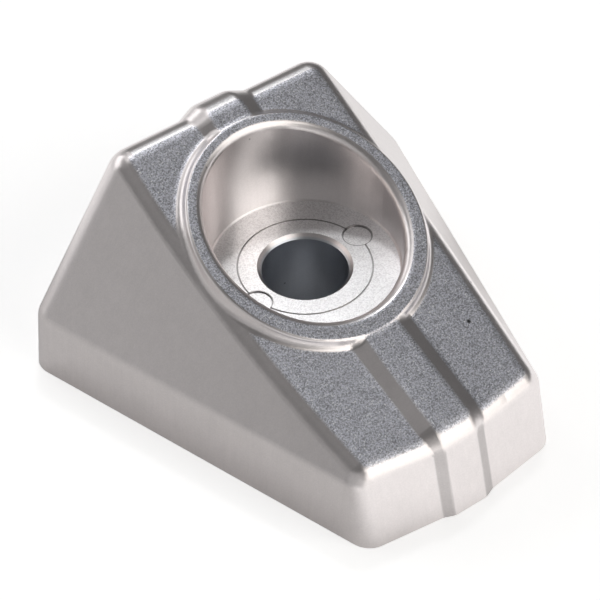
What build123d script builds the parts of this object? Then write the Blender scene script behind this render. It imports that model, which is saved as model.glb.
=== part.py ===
from build123d import *
from math import atan, cos, degrees, hypot, radians, sin, sqrt, tan
import os

# Sacrificial anode for an outboard or stern drive, one die casting.
# Millimetres. +Z is up, the flat mounting face is Z 0 and the bolt hole's axis is X 0, Y 0.
# The low nose of the wedge points to -Y and the tall end to +Y.

# Fixing: one bolt with a plain washer, in a counterbore that also takes the socket spanner.
bolt_size = 8.0
bolt_clearance = 0.5
washer_diameter = 16.0
spanner_clearance = 1.4
seat_height = 11.5
hole_chamfer = 0.45
bore_draft = 2.5
seat_chamfer = 0.15

# Plan of the mounting face: wide at the tall end, narrow at the nose.
nose_reach = 25.9
rear_land = 3.9
tall_end_width = 46.8
nose_end_width = 22.5
nose_angle = 7.3

# Sides: a steep band at the bottom, then faces that lean in to the slope.
band_height = 6.7
band_draft = 4.3
side_lean = 33.0
nose_lean = 15.2
tall_end_draft = 0.5
nose_shoulder = 1.3
tall_end_height = 23.8
slope_hollow = 1.05
edge_round = 2.4

# Rib down the middle of the slope, round the nose and over the tall end.
rib_flat = 3.7
rib_flank = 1.7
rib_rise = 0.7
rib_nose_rise = 0.1
rib_end_rise = 0.8
rib_end_lift = 0.4
rib_crown_round = 1.5
rib_foot_round = 1.0

# Raised collar round the mouth of the counterbore.
collar_wall = 2.7
collar_draft = 4.5
collar_rise = 1.3
collar_foot_round = 1.0
crest_round = 0.35
crest_share = 0.25
mouth_round = 1.05
mouth_share = 0.75

# Marks of the die on the seat: a core pin's line and two ejector pins.
core_line_diameter = 13.2
core_line_width = 0.16
core_line_depth = 0.1
ejector_diameter = 2.9
ejector_depth = 0.15
ejector_offset = 0.1
ejector_turn = 3.0
ejector_spread = 187.0

hole_radius = (bolt_size + bolt_clearance) / 2
seat_radius = washer_diameter / 2 + spanner_clearance
collar_radius = seat_radius + collar_wall
tall_end_y = collar_radius + rear_land
nose_height = band_height + nose_shoulder

# Ends of the slope, where it meets the leaning nose and the tall end.
slope_low = (-nose_reach + nose_height * tan(radians(nose_lean)), nose_height)
slope_high = (tall_end_y - tall_end_height * tan(radians(tall_end_draft)), tall_end_height)
slope_run = slope_high[0] - slope_low[0]
slope_climb = slope_high[1] - slope_low[1]
slope_chord = hypot(slope_run, slope_climb)
slope_angle = atan(slope_climb / slope_run)

# The slope is a shallow hollow arc. Its height and steepness at the bolt hole place the collar.
hollow_radius = slope_chord**2 / (8 * slope_hollow) + slope_hollow / 2
hollow_reach = hollow_radius - slope_hollow
hollow_y = (slope_low[0] + slope_high[0]) / 2 - hollow_reach * sin(slope_angle)
hollow_z = (slope_low[1] + slope_high[1]) / 2 + hollow_reach * cos(slope_angle)
hollow_drop = sqrt(hollow_radius**2 - hollow_y**2)
crest_height = hollow_z - hollow_drop + collar_rise
crest_slope = -hollow_y / hollow_drop

# The counterbore's wall is lowest at the front and the crest is thinnest at the back.
front_wall = crest_height - crest_slope * seat_radius - seat_height
back_wall = crest_height + crest_slope * collar_radius - seat_height
lip_back = collar_wall - back_wall * (tan(radians(collar_draft)) + tan(radians(bore_draft)))
crest_rounding = min(crest_round, crest_share * lip_back)
mouth_rounding = min(mouth_round, mouth_share * lip_back, front_wall / 2)
seat_corner = min(seat_chamfer, front_wall / 4)
collar_root_radius = collar_radius + (seat_height - band_height) * tan(radians(collar_draft))

# Sides in plan: half the width at the bolt hole, and the widening for each millimetre along Y.
nose_corner_y = -nose_reach + nose_end_width / 2 * tan(radians(nose_angle))
widening = (tall_end_width - nose_end_width) / 2 / (tall_end_y - nose_corner_y)
half_width = tall_end_width / 2 - widening * tall_end_y
band_top_half_width = half_width - band_height * tan(radians(band_draft))

# The rib's flanks run on into the body by this share of their width.
flank_overrun = 1.5
touch = 0.01


def samples(edge):
    """Start, middle and end point of an edge."""
    return [edge @ 0, edge @ 0.5, edge @ 1]


def from_axis(point):
    """Distance of a point from the bolt hole's axis."""
    return hypot(point.X, point.Y)


def above_crest(point):
    """Height of a point over the plane of the collar's crest."""
    return point.Z - crest_height - crest_slope * point.Y


def bore_edge_radius(height):
    """Radius of the drafted counterbore at a height."""
    return seat_radius + (height - seat_height) * tan(radians(bore_draft))


def on_nose_line(edge):
    """True for the ridge in the middle of the nose, which the rib covers."""
    return all(abs(point.X) < touch for point in samples(edge))


def on_crest(edge):
    """True for an edge that lies in the plane of the collar's crest."""
    return all(abs(above_crest(point)) < touch for point in samples(edge))


def on_mouth(edge):
    """True for the edge where the counterbore breaks through the crest."""
    in_bore = all(abs(from_axis(point) - bore_edge_radius(point.Z)) < touch for point in samples(edge))
    return in_bore and on_crest(edge)


def on_rib_crown(edge):
    """True for the long edges of the rib's flat, above its root."""
    beside = all(abs(abs(point.X) - rib_flat / 2) < touch for point in samples(edge))
    return beside and (edge @ 0.5).Z > 0


def on_rib_foot(edge):
    """True for the edges along the rib where its flanks meet the body."""
    start, middle, end = samples(edge)
    outside = min(abs(start.X), abs(middle.X), abs(end.X)) > rib_flat / 2 + touch
    inside = max(abs(start.X), abs(middle.X), abs(end.X)) < rib_flat / 2 + 2 * rib_flank
    runs_along = abs(end.X - start.X) < edge.length / 2
    return outside and inside and runs_along and middle.Z > touch


# Collar: an upright drafted boss, cut off parallel to the slope.
with BuildPart() as collar:
    with BuildSketch(Plane.XY.offset(band_height)):
        Circle(collar_root_radius)
    extrude(amount=tall_end_height, taper=collar_draft)
    crest_plane = Plane(origin=(0, 0, crest_height), z_dir=(0, -crest_slope, 1))
    split(bisect_by=crest_plane, keep=Keep.BOTTOM)
    fillet(collar.edges().filter_by(on_crest), radius=crest_rounding)

# Rib: the side profile of the body pushed out, flat in the middle and tapered on both flanks.
with BuildPart() as rib:
    rise = rib_rise / cos(slope_angle)
    nose_shift = rise * tan(radians(nose_lean)) - rib_nose_rise
    rib_low = (slope_low[0] + nose_shift, slope_low[1] + rise)
    rib_high = (slope_high[0] + rib_end_rise, slope_high[1] + rise + rib_end_lift)
    root = -2 * flank_overrun * rib_rise
    rib_nose_root = (-nose_reach - rib_nose_rise + root * tan(radians(nose_lean)), root)
    rib_end_root = (tall_end_y + rib_end_rise, root)
    with BuildSketch(Plane.YZ) as rib_profile:
        with BuildLine():
            Polyline(rib_low, rib_nose_root, rib_end_root, rib_high)
            SagittaArc(rib_low, rib_high, -slope_hollow)
        make_face()
        fillet(rib_profile.vertices().sort_by(Axis.Y)[-2:], radius=edge_round + rib_rise)
    extrude(amount=rib_flat / 2, both=True)
    flank_taper = degrees(atan(rib_rise / rib_flank))
    for side in (-1, 1):
        with BuildSketch(Plane.YZ.offset(side * rib_flat / 2)):
            add(rib_profile.sketch_local)
        extrude(amount=side * rib_flank * flank_overrun, taper=flank_taper)
    fillet(rib.edges().filter_by(on_rib_crown), radius=rib_crown_round)
    split(bisect_by=Plane.XY, keep=Keep.TOP)

with BuildPart() as anode_body:
    # Wedge: side profile with the hollow slope, as wide as the tall end.
    with BuildSketch(Plane.YZ):
        with BuildLine():
            Polyline(slope_low, (-nose_reach, 0), (tall_end_y, 0), slope_high)
            SagittaArc(slope_low, slope_high, -slope_hollow)
        make_face()
    extrude(amount=tall_end_width / 2 + edge_round, both=True)

    # Each side is trimmed to its band, its leaning face and its half of the pointed nose.
    for side in (-1, 1):
        band = Plane(
            origin=(side * half_width, 0, 0),
            z_dir=(side, -widening, tan(radians(band_draft))),
        )
        split(bisect_by=band, keep=Keep.BOTTOM)
        leaning_side = Plane(
            origin=(side * band_top_half_width, 0, band_height),
            z_dir=(side, -widening, tan(radians(side_lean))),
        )
        split(bisect_by=leaning_side, keep=Keep.BOTTOM)
        nose_face = Plane(
            origin=(0, -nose_reach, 0),
            z_dir=(side * tan(radians(nose_angle)), -1, tan(radians(nose_lean))),
        )
        split(bisect_by=nose_face, keep=Keep.BOTTOM)

    # Every outer edge is rounded but those of the mounting face.
    base_edges = anode_body.faces().sort_by(Axis.Z)[0].edges()
    nose_line = anode_body.edges().filter_by(on_nose_line)
    fillet(anode_body.edges() - base_edges - nose_line, radius=edge_round)

    add(collar.part)
    fillet(anode_body.edges(Select.NEW), radius=collar_foot_round)

    add(rib.part)
    fillet(anode_body.edges(Select.NEW).filter_by(on_rib_foot), radius=rib_foot_round)

    # Counterbore with drafted wall and a flat seat for the washer.
    with BuildSketch(Plane.XY.offset(seat_height)):
        Circle(seat_radius)
    extrude(amount=tall_end_height, taper=-bore_draft, mode=Mode.SUBTRACT)
    fillet(anode_body.edges().filter_by(on_mouth), radius=mouth_rounding)
    seat_edges = anode_body.edges().filter_by_position(Axis.Z, seat_height - touch, seat_height + touch)
    chamfer(seat_edges.filter_by(GeomType.CIRCLE).sort_by(SortBy.RADIUS)[-1], length=seat_corner)

    # Bolt hole, broken at the seat.
    Hole(radius=hole_radius)
    seat_edges = anode_body.edges().filter_by_position(Axis.Z, seat_height - touch, seat_height + touch)
    chamfer(seat_edges.filter_by(GeomType.CIRCLE).sort_by(SortBy.RADIUS)[0], length=hole_chamfer)

    # Shallow marks of the die on the seat.
    with BuildSketch(Plane.XY.offset(seat_height)):
        Circle((core_line_diameter + core_line_width) / 2)
        Circle((core_line_diameter - core_line_width) / 2, mode=Mode.SUBTRACT)
    extrude(amount=-core_line_depth, mode=Mode.SUBTRACT)
    ejector_circle = core_line_diameter / 2 + ejector_offset
    with BuildSketch(Plane.XY.offset(seat_height)):
        with PolarLocations(ejector_circle, 2, ejector_turn, ejector_spread, endpoint=True):
            Circle(ejector_diameter / 2)
    extrude(amount=-ejector_depth, mode=Mode.SUBTRACT)

anode_body.part.label = "anode_body"
os.makedirs("parts", exist_ok=True)
export_step(anode_body.part, "parts/anode_body.step")
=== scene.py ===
"""A cast sacrificial anode on a pale table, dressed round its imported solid."""

import logging
import math
from collections.abc import Mapping
from dataclasses import dataclass, field
from enum import Enum

import bpy
from mathutils import Matrix, Vector

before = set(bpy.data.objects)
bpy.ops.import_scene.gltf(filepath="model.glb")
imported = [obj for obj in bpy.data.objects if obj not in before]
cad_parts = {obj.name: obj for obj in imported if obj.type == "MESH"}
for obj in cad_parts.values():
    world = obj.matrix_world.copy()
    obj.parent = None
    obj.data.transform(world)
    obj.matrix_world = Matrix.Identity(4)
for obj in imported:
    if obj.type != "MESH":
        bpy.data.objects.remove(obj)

LOG = logging.getLogger("anode")
MM = 0.001
IMAGE_PIXELS = 600
SENSOR_WIDTH_MM = 36.0
NOISE_MIDDLE = 0.5

Colour = tuple[float, float, float, float]
Tint = tuple[float, float, float]
WHITE: Tint = (1.0, 1.0, 1.0)
WARM: Tint = (1.0, 0.98, 0.94)


class Side(Enum):
    """The two sides of the casting, by the sign of X."""

    LEFT = -1
    RIGHT = 1


@dataclass(frozen=True)
class Wire:
    """A node's output, so that shader maths reads as plain maths."""

    sheet: "MaterialSheet"
    socket: bpy.types.NodeSocket

    def __add__(self, other: "Wire | float") -> "Wire":
        """Sum."""
        return self.sheet.maths("ADD", self, other)

    def __radd__(self, other: float) -> "Wire":
        """Sum, with the number first."""
        return self.sheet.maths("ADD", other, self)

    def __sub__(self, other: "Wire | float") -> "Wire":
        """Difference."""
        return self.sheet.maths("SUBTRACT", self, other)

    def __rsub__(self, other: float) -> "Wire":
        """Difference, with the number first."""
        return self.sheet.maths("SUBTRACT", other, self)

    def __mul__(self, other: "Wire | float") -> "Wire":
        """Product."""
        return self.sheet.maths("MULTIPLY", self, other)

    def __rmul__(self, other: float) -> "Wire":
        """Product, with the number first."""
        return self.sheet.maths("MULTIPLY", other, self)

    def mask(self, low: float, high: float) -> "Wire":
        """Maps low to 0 and high to 1, softly between and held at both ends.

        Args:
            low: Value that gives 0.
            high: Value that gives 1. It may be under low.

        Returns:
            The mask.
        """
        inputs = {"Value": self, "From Min": low, "From Max": high}
        return self.sheet.add("ShaderNodeMapRange", {"interpolation_type": "SMOOTHSTEP"}, inputs)


class MaterialSheet:
    """A new material and the nodes that are laid out on it."""

    def __init__(self, name: str) -> None:
        """Makes an empty node material.

        Args:
            name: The material's name.
        """
        self.material = bpy.data.materials.new(name)
        self.material.use_nodes = True
        self.tree = self.material.node_tree
        self.tree.nodes.clear()

    def node(
        self,
        kind: str,
        settings: Mapping[str, object] | None = None,
        inputs: Mapping[str | int, object] | None = None,
    ) -> bpy.types.Node:
        """Adds a node, sets its options and then its sockets.

        Args:
            kind: The node's type.
            settings: Options of the node, by attribute.
            inputs: Values or wires, by socket name or number.

        Returns:
            The node.
        """
        node = self.tree.nodes.new(kind)
        for name, value in (settings or {}).items():
            setattr(node, name, value)
        for name, value in (inputs or {}).items():
            if isinstance(value, Wire):
                self.tree.links.new(value.socket, node.inputs[name])
            else:
                node.inputs[name].default_value = value
        return node

    def add(
        self,
        kind: str,
        settings: Mapping[str, object] | None = None,
        inputs: Mapping[str | int, object] | None = None,
        output: str | int = 0,
    ) -> Wire:
        """Adds a node and hands back the wire that leaves one of its outputs.

        Args:
            kind: The node's type.
            settings: Options of the node, by attribute.
            inputs: Values or wires, by socket name or number.
            output: The output's name or number.

        Returns:
            The wire that leaves that output.
        """
        return Wire(self, self.node(kind, settings, inputs).outputs[output])

    def maths(self, operation: str, first: Wire | float, second: Wire | float) -> Wire:
        """Adds a Math node for two numbers."""
        return self.add("ShaderNodeMath", {"operation": operation}, {0: first, 1: second})

    def mix(self, share: Wire | float, first: Wire | Colour, second: Wire | Colour) -> Wire:
        """Adds a colour mix: the first colour at share 0, the second at share 1."""
        inputs = {0: share, 6: first, 7: second}
        return self.add("ShaderNodeMix", {"data_type": "RGBA"}, inputs, output=2)

    def scale(self, colour: Wire, share: Wire | float) -> Wire:
        """Adds a Vector Math node that scales a colour."""
        return self.add("ShaderNodeVectorMath", {"operation": "SCALE"}, {0: colour, "Scale": share})

    def close(self, shader: Wire) -> bpy.types.Material:
        """Leads a shader to the output and hands the material back."""
        self.node("ShaderNodeOutputMaterial", inputs={"Surface": shader})
        return self.material


@dataclass(frozen=True)
class CastFinish:
    """Bare cast metal: grained on what faces up the slope, smooth where the die was drawn off, with
    shade painted in on the rib's flanks down the nose, inside the bolt hole, in the edges of the
    seat's round marks and in one small pit.
    """

    grained: Colour = (0.585, 0.59, 0.645, 1.0)
    satin: Colour = (0.80, 0.755, 0.75, 1.0)
    pressed: Colour = (0.90, 0.89, 0.90, 1.0)
    # Painted shade inside the bolt hole: a darker, cooler colour.
    hole_painted_shade: Colour = (0.62, 0.64, 0.68, 1.0)
    # Painted shade in the edges of the seat's round marks.
    groove_painted_shade: Colour = (0.22, 0.21, 0.21, 1.0)
    # Painted shade of a small pit, also the colour of the scattered specks.
    pit_shade_and_speck: Colour = (0.06, 0.06, 0.06, 1.0)
    roughness: float = 0.31
    grained_roughness: float = 0.44
    pressed_roughness: float = 0.3
    roughness_drift: float = 0.06
    level_range: tuple[float, float] = (0.99, 0.998)
    grained_range: tuple[float, float] = (0.935, 0.985)
    flank_range: tuple[float, float] = (0.972, 0.999)
    fine_range: tuple[float, float] = (0.33, 0.67)
    glint_range: tuple[float, float] = (0.6, 0.78)
    spot_edge: tuple[float, float] = (1.5, 0.5)
    noise_roughness: float = 0.6
    plain_grain: float = 0.05
    pressed_grain: float = 0.25
    grain_size: float = 0.17 * MM
    grain_height: float = 0.01 * MM
    grain_shade: float = 0.8
    patch_size: float = 0.6 * MM
    patch_shade: float = 0.6
    glint_size: float = 0.13 * MM
    glint_shade: float = 0.7
    streak_size: float = 0.45 * MM
    streak_stretch: float = 0.1
    streak_shade: float = 0.07
    # Painted shade on the rib's flanks down the nose: how much their colour is darkened.
    flank_painted_shade: float = 0.34
    mottle_size: float = 3.0 * MM
    mottle_shade: float = 0.10
    speck_spacing: float = 4.0 * MM
    speck_radius: float = 0.11 * MM
    speck_depth: float = 0.5
    groove_shade_share: float = 0.7
    line_width: float = 0.11 * MM
    pit_radius: float = 0.2 * MM

    def dress(self, marks: "DieMarks") -> bpy.types.Material:
        """Makes the finish.

        Args:
            marks: Where the sloping top faces and where the die left its marks.

        Returns:
            The material.
        """
        sheet = MaterialSheet("cast_metal")
        place = sheet.add("ShaderNodeTexCoord", output="Object")
        level = self.facing(sheet, Vector((0.0, 0.0, 1.0))).mask(*self.level_range)
        grained = self.facing(sheet, marks.slope_normal()).mask(*self.grained_range) * (1.0 - level)
        fine = self.noise(sheet, place, self.grain_size, detail=2.0).mask(*self.fine_range)
        patch = self.noise(sheet, place, self.patch_size, detail=2.0)
        glint = self.noise(sheet, place, self.glint_size, detail=0.0).mask(*self.glint_range)
        broad = self.noise(sheet, place, self.mottle_size, detail=3.0)
        drawn = sheet.add(
            "ShaderNodeVectorMath",
            {"operation": "MULTIPLY"},
            {0: place, 1: (1.0, 1.0, self.streak_stretch)},
        )
        streak = self.noise(sheet, drawn, self.streak_size, detail=1.0)
        weight = self.plain_grain + grained * (1.0 - self.plain_grain) + level * self.pressed_grain
        bump = sheet.add(
            "ShaderNodeBump",
            inputs={"Strength": 1.0, "Distance": self.grain_height, "Height": fine * weight},
        )
        from_axis = self.away(sheet, self.plan(sheet, place), Vector((0.0, 0.0, 0.0)))
        # Painted shade: the bolt hole's wall gets a darker, cooler colour.
        in_hole = from_axis.mask(*(marks.hole_radius + gap for gap in marks.hole_edge))
        satin = sheet.mix(in_hole, self.satin, self.hole_painted_shade)
        body = sheet.mix(level, sheet.mix(grained, satin, self.grained), self.pressed)
        spread = (fine - NOISE_MIDDLE) * self.grain_shade + (patch - NOISE_MIDDLE) * self.patch_shade
        grain = (spread + glint * self.glint_shade) * weight
        drag = (streak - NOISE_MIDDLE) * self.streak_shade * (1.0 - grained)
        mottle = (broad - NOISE_MIDDLE) * self.mottle_shade
        # The rib's flanks on the nose are darkened by painted shade.
        shade = 1.0 + grain + drag + mottle - self.flanks(sheet, place, marks)
        # Painted shade: a near-black spot where a small pit is.
        from_pit = self.away(sheet, place, marks.pit_place)
        pit_shaded = from_pit.mask(*(self.pit_radius * share for share in self.spot_edge))
        specked = self.specks(sheet, place) * (1.0 - grained) * (1.0 - level) * self.speck_depth
        # Painted shade: dark lines in the edges of the seat's round marks.
        groove_shaded = self.lines(sheet, place, marks) * self.groove_shade_share
        cast = sheet.mix(groove_shaded, sheet.scale(body, shade), self.groove_painted_shade)
        colour = sheet.mix(specked, sheet.mix(pit_shaded, cast, self.pit_shade_and_speck), self.pit_shade_and_speck)
        roughness = (
            self.roughness
            + grained * (self.grained_roughness - self.roughness)
            + level * (self.pressed_roughness - self.roughness)
            + (broad - NOISE_MIDDLE) * self.roughness_drift
        )
        shader = sheet.add(
            "ShaderNodeBsdfPrincipled",
            inputs={
                "Base Color": colour,
                "Metallic": 1.0,
                "Roughness": roughness,
                "Normal": bump,
            },
        )
        return sheet.close(shader)

    def facing(self, sheet: MaterialSheet, direction: Vector) -> Wire:
        """Adds how far the surface faces a direction.

        Args:
            sheet: The sheet that the nodes go on.
            direction: The direction, of length 1.

        Returns:
            The share, 1 being straight at it.
        """
        normal = sheet.add("ShaderNodeNewGeometry", output="Normal")
        inputs = {0: normal, 1: tuple(direction)}
        return sheet.add("ShaderNodeVectorMath", {"operation": "DOT_PRODUCT"}, inputs, output="Value")

    def away(self, sheet: MaterialSheet, place: Wire, point: Vector) -> Wire:
        """Adds the distance from a point."""
        inputs = {0: place, 1: tuple(point)}
        return sheet.add("ShaderNodeVectorMath", {"operation": "DISTANCE"}, inputs, output="Value")

    def plan(self, sheet: MaterialSheet, place: Wire) -> Wire:
        """Adds the place as seen from above, with no height."""
        inputs = {0: place, 1: (1.0, 1.0, 0.0)}
        return sheet.add("ShaderNodeVectorMath", {"operation": "MULTIPLY"}, inputs)

    def flanks(self, sheet: MaterialSheet, place: Wire, marks: "DieMarks") -> Wire:
        """Adds the shade painted onto the rib's two flanks where it runs down the nose, darkening
        their colour in place of the darker surroundings they mirror.

        Args:
            sheet: The sheet that the nodes go on.
            place: The place on the casting.
            marks: Which way the flanks face, and how far from the middle they reach.

        Returns:
            What is taken off the shade.
        """
        left, right = (
            self.facing(sheet, marks.flank_normal(side)).mask(*self.flank_range) for side in Side
        )
        aside = sheet.add("ShaderNodeSeparateXYZ", inputs={0: place}, output="X")
        near = (aside * aside).mask(marks.rib_beyond**2, marks.rib_within**2)
        return (left + right) * near * self.flank_painted_shade

    def specks(self, sheet: MaterialSheet, place: Wire) -> Wire:
        """Adds small round specks, scattered at about one spacing from each other.

        Args:
            sheet: The sheet that the nodes go on.
            place: The place on the casting.

        Returns:
            The mask of the specks.
        """
        inputs = {"Vector": place, "Scale": 1 / self.speck_spacing}
        distance = sheet.add("ShaderNodeTexVoronoi", inputs=inputs)
        radius = self.speck_radius / self.speck_spacing
        return distance.mask(*(radius * share for share in self.spot_edge))

    def lines(self, sheet: MaterialSheet, place: Wire, marks: "DieMarks") -> Wire:
        """Adds the dark lines of painted shade in the edges of the round marks on the seat, the last
        mark on top.

        Args:
            sheet: The sheet that the nodes go on.
            place: The place on the casting.
            marks: Where the round marks are.

        Returns:
            The mask of the lines.
        """
        flat = self.plan(sheet, place)
        total: Wire | float = 0.0
        for x, y, radius in marks.circles:
            away = self.away(sheet, flat, Vector((x, y, 0.0)))
            inner = away.mask(radius - self.line_width, radius - self.line_width / 2)
            outer = away.mask(radius + self.line_width, radius + self.line_width / 2)
            total = total * inner + inner * outer
        height = sheet.add("ShaderNodeSeparateXYZ", inputs={0: place}, output="Z")
        near = height.mask(*(marks.seat_height + gap for gap in marks.mark_floor))
        under = height.mask(*(marks.seat_height + gap for gap in marks.mark_ceiling))
        return total * near * under

    def noise(self, sheet: MaterialSheet, place: Wire, size: float, detail: float) -> Wire:
        """Adds noise with features of a size.

        Args:
            sheet: The sheet that the nodes go on.
            place: The place on the casting.
            size: The size of the features.
            detail: How many finer steps of noise are laid over them.

        Returns:
            The noise, about NOISE_MIDDLE.
        """
        inputs = {
            "Vector": place,
            "Scale": 1 / size,
            "Detail": detail,
            "Roughness": self.noise_roughness,
        }
        return sheet.add("ShaderNodeTexNoise", inputs=inputs)


@dataclass(frozen=True)
class DieMarks:
    """Where the sloping top and the rib's flanks face, and where the die left its marks."""

    slope_degrees: float = 22.0
    nose_lean_degrees: float = 15.2
    flank_degrees: float = 22.4
    rib_within: float = 4.2 * MM
    rib_beyond: float = 5.0 * MM
    seat_height: float = 11.5 * MM
    hole_radius: float = 4.25 * MM
    hole_edge: tuple[float, float] = (0.25 * MM, 0.05 * MM)
    mark_floor: tuple[float, float] = (-0.5 * MM, -0.3 * MM)
    mark_ceiling: tuple[float, float] = (0.2 * MM, 0.05 * MM)
    circles: tuple[tuple[float, float, float], ...] = (
        (0.0, 0.0, 6.6 * MM),
        (6.69 * MM, 0.35 * MM, 1.45 * MM),
        (-6.60 * MM, -1.16 * MM, 1.45 * MM),
    )
    pit_place: Vector = field(default_factory=lambda: Vector((8.28, -14.87, 10.77)) * MM)

    def slope_normal(self) -> Vector:
        """The direction that the sloping top faces."""
        lean = math.radians(self.slope_degrees)
        return Vector((0.0, -math.sin(lean), math.cos(lean)))

    def flank_normal(self, side: Side) -> Vector:
        """The direction that one flank of the rib faces on the nose.

        Args:
            side: The flank's side.

        Returns:
            The direction, of length 1.
        """
        turn, lean = math.radians(self.flank_degrees), math.radians(self.nose_lean_degrees)
        ahead = math.cos(turn)
        return Vector((side.value * math.sin(turn), -ahead * math.cos(lean), ahead * math.sin(lean)))


@dataclass
class Casting:
    """The anode itself, one solid from model.glb, left where it stands."""

    node: str = "anode_body"
    slot: str = "cast_metal"
    finish: CastFinish = field(default_factory=CastFinish)
    marks: DieMarks = field(default_factory=DieMarks)

    def dress(self) -> bpy.types.Object:
        """Puts the cast finish on the solid.

        Returns:
            The solid.
        """
        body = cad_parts[self.node]
        material = self.finish.dress(self.marks)
        body.data.materials.clear()
        body.data.materials.append(material)
        return body


@dataclass
class Softbox:
    """A flat lamp that looks at the casting and spans so many degrees of its view."""

    name: str
    azimuth: float
    elevation: float
    across: float
    upright: float
    radiance: float
    colour: Tint = WHITE
    distance: float = 0.45

    def build(self) -> bpy.types.Object:
        """Adds the lamp. Its azimuth is 0 over +Y and 90 over +X.

        Returns:
            The lamp.
        """
        azimuth, elevation = math.radians(self.azimuth), math.radians(self.elevation)
        direction = Vector(
            (
                math.sin(azimuth) * math.cos(elevation),
                math.cos(azimuth) * math.cos(elevation),
                math.sin(elevation),
            )
        )
        data = bpy.data.lights.new(self.name, "AREA")
        data.shape = "RECTANGLE"
        data.size = 2 * self.distance * math.tan(math.radians(self.across / 2))
        data.size_y = 2 * self.distance * math.tan(math.radians(self.upright / 2))
        data.energy = self.radiance * math.pi * data.size * data.size_y
        data.color = self.colour
        lamp = bpy.data.objects.new(self.name, data)
        lamp.location = direction * self.distance
        lamp.rotation_euler = direction.to_track_quat("Z", "Y").to_euler()
        lamp.visible_camera = False
        bpy.context.scene.collection.objects.link(lamp)
        return lamp


@dataclass(frozen=True)
class Glow:
    """A side of the table that looks white in the metal, as the backdrop does."""

    azimuth: float
    start: float
    full: float
    strength: float

    def add(self, sheet: MaterialSheet, place: Wire) -> Wire:
        """Adds how bright the glow is at each place on the table.

        Args:
            sheet: The sheet that the nodes go on.
            place: The place on the table.

        Returns:
            The brightness.
        """
        angle = math.radians(self.azimuth)
        forward = sheet.add(
            "ShaderNodeVectorMath",
            {"operation": "DOT_PRODUCT"},
            {0: place, 1: (math.sin(angle), math.cos(angle), 0.0)},
            output="Value",
        )
        return forward.mask(self.start, self.full) * self.strength


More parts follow.
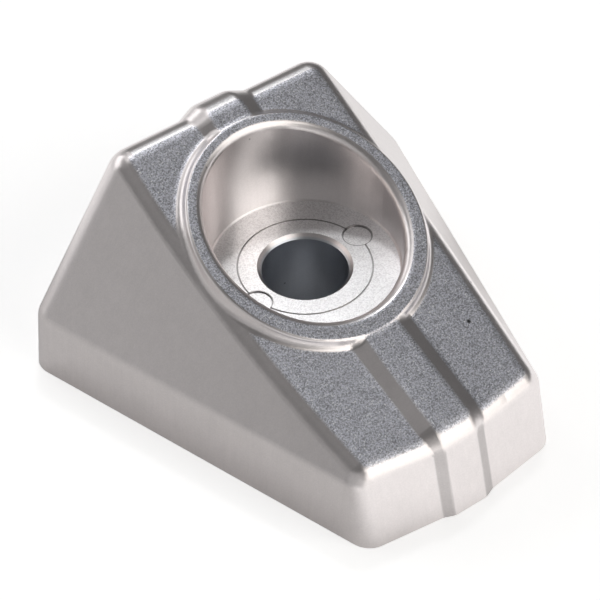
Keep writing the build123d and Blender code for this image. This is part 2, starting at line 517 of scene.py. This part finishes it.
@dataclass
class Studio:
    """Pale table, faint room light, softboxes in front and behind, a key lamp and dim cards.

    A softbox is given by its name, azimuth and elevation, and then by how much of the view it spans.
    """

    table_size: float = 3.0
    table_colour: Colour = (0.92, 0.92, 0.92, 1.0)
    table_roughness: float = 0.9
    table_white: float = 0.5
    glows: tuple[Glow, ...] = (
        Glow(azimuth=150.0, start=10.0 * MM, full=27.0 * MM, strength=0.52),
        Glow(azimuth=40.0, start=16.0 * MM, full=30.0 * MM, strength=0.4),
    )
    room_light: float = 0.11
    boxes: tuple[Softbox, ...] = (
        Softbox("front_low", 165.0, 12.0, across=60.0, upright=24.0, radiance=1.35, colour=WARM),
        Softbox("front_high", 158.0, 38.0, across=50.0, upright=30.0, radiance=1.6, colour=WARM),
        Softbox("back_key", 37.0, 61.0, across=8.0, upright=5.0, radiance=20.0),
        Softbox("back_middle", 15.0, 50.0, across=42.0, upright=28.0, radiance=0.6),
        Softbox("back_top", 0.0, 74.0, across=36.0, upright=20.0, radiance=1.0),
        Softbox("back_left", 335.0, 30.0, across=50.0, upright=24.0, radiance=1.5),
        Softbox("back_low", 345.0, 10.0, across=70.0, upright=16.0, radiance=0.5),
        Softbox("card_left", 295.0, 12.0, across=45.0, upright=26.0, radiance=0.32),
        Softbox("card_over", 300.0, 58.0, across=50.0, upright=35.0, radiance=0.13),
        Softbox("card_near", 235.0, 15.0, across=60.0, upright=40.0, radiance=0.33),
    )

    def build(self) -> None:
        """Lays the table, lights the room and hangs the softboxes."""
        self.lay_table()
        self.light_room()
        for box in self.boxes:
            box.build()

    def lay_table(self) -> None:
        """Adds the table: white to the camera, and bright to the metal in front and behind."""
        bpy.ops.object.select_all(action="DESELECT")
        bpy.ops.mesh.primitive_plane_add(size=self.table_size)
        table = bpy.context.object
        table.name = "table"
        sheet = MaterialSheet("pale_table")
        seen = sheet.add("ShaderNodeLightPath", output="Is Camera Ray")
        mirrored = sheet.add("ShaderNodeLightPath", output="Is Glossy Ray")
        through = sheet.add("ShaderNodeLightPath", output="Is Transmission Ray")
        place = sheet.add("ShaderNodeTexCoord", output="Object")
        glow: Wire | float = 0.0
        for patch in self.glows:
            glow = glow + patch.add(sheet, place)
        shader = sheet.add(
            "ShaderNodeBsdfPrincipled",
            inputs={
                "Base Color": self.table_colour,
                "Roughness": self.table_roughness,
                "Specular IOR Level": 0.0,
                "Emission Color": (1.0, 1.0, 1.0, 1.0),
                "Emission Strength": (seen + through) * self.table_white + mirrored * glow,
            },
        )
        table.data.materials.append(sheet.close(shader))

    def light_room(self) -> None:
        """Gives the world one even grey."""
        world = bpy.data.worlds.new("room")
        world.use_nodes = True
        background = world.node_tree.nodes["Background"]
        background.inputs["Color"].default_value = (1.0, 1.0, 1.0, 1.0)
        background.inputs["Strength"].default_value = self.room_light
        bpy.context.scene.world = world


@dataclass
class PhotoCamera:
    """The camera that sees the casting as the photograph does."""

    azimuth: float = -36.897
    elevation: float = 45.049
    roll: float = -0.25
    distance: float = 243.59 * MM
    aside: float = -0.54 * MM
    above: float = 4.81 * MM
    focal_pixels: float = 2425.2

    def build(self) -> bpy.types.Object:
        """Adds the camera and makes it the scene's own.

        Returns:
            The camera.
        """
        azimuth, elevation, roll = (math.radians(v) for v in (self.azimuth, self.elevation, self.roll))
        back = Vector(
            (
                math.sin(azimuth) * math.cos(elevation),
                -math.cos(azimuth) * math.cos(elevation),
                math.sin(elevation),
            )
        )
        level = Vector((math.cos(azimuth), math.sin(azimuth), 0.0))
        upright = back.cross(level)
        right = level * math.cos(roll) + upright * math.sin(roll)
        up = upright * math.cos(roll) - level * math.sin(roll)
        data = bpy.data.cameras.new("photo_camera")
        data.sensor_width = SENSOR_WIDTH_MM
        data.lens = self.focal_pixels / IMAGE_PIXELS * SENSOR_WIDTH_MM
        data.clip_start = self.distance / 100
        camera = bpy.data.objects.new("photo_camera", data)
        place = back * self.distance + right * self.aside + up * self.above
        turn = Matrix((right, up, back)).transposed().to_4x4()
        camera.matrix_world = Matrix.Translation(place) @ turn
        bpy.context.scene.collection.objects.link(camera)
        bpy.context.scene.camera = camera
        return camera


def main() -> None:
    """Dresses the casting and sets the stage round it."""
    logging.basicConfig(level=logging.INFO, format="%(name)s: %(message)s")
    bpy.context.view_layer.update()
    body = Casting().dress()
    LOG.info("%s dressed, %d faces", body.name, len(body.data.polygons))
    Studio().build()
    LOG.info("studio built")
    camera = PhotoCamera().build()
    LOG.info("%s placed, lens %.1f mm", camera.name, camera.data.lens)
    bpy.context.scene.view_settings.view_transform = "Standard"


if __name__ == "__main__":
    main()
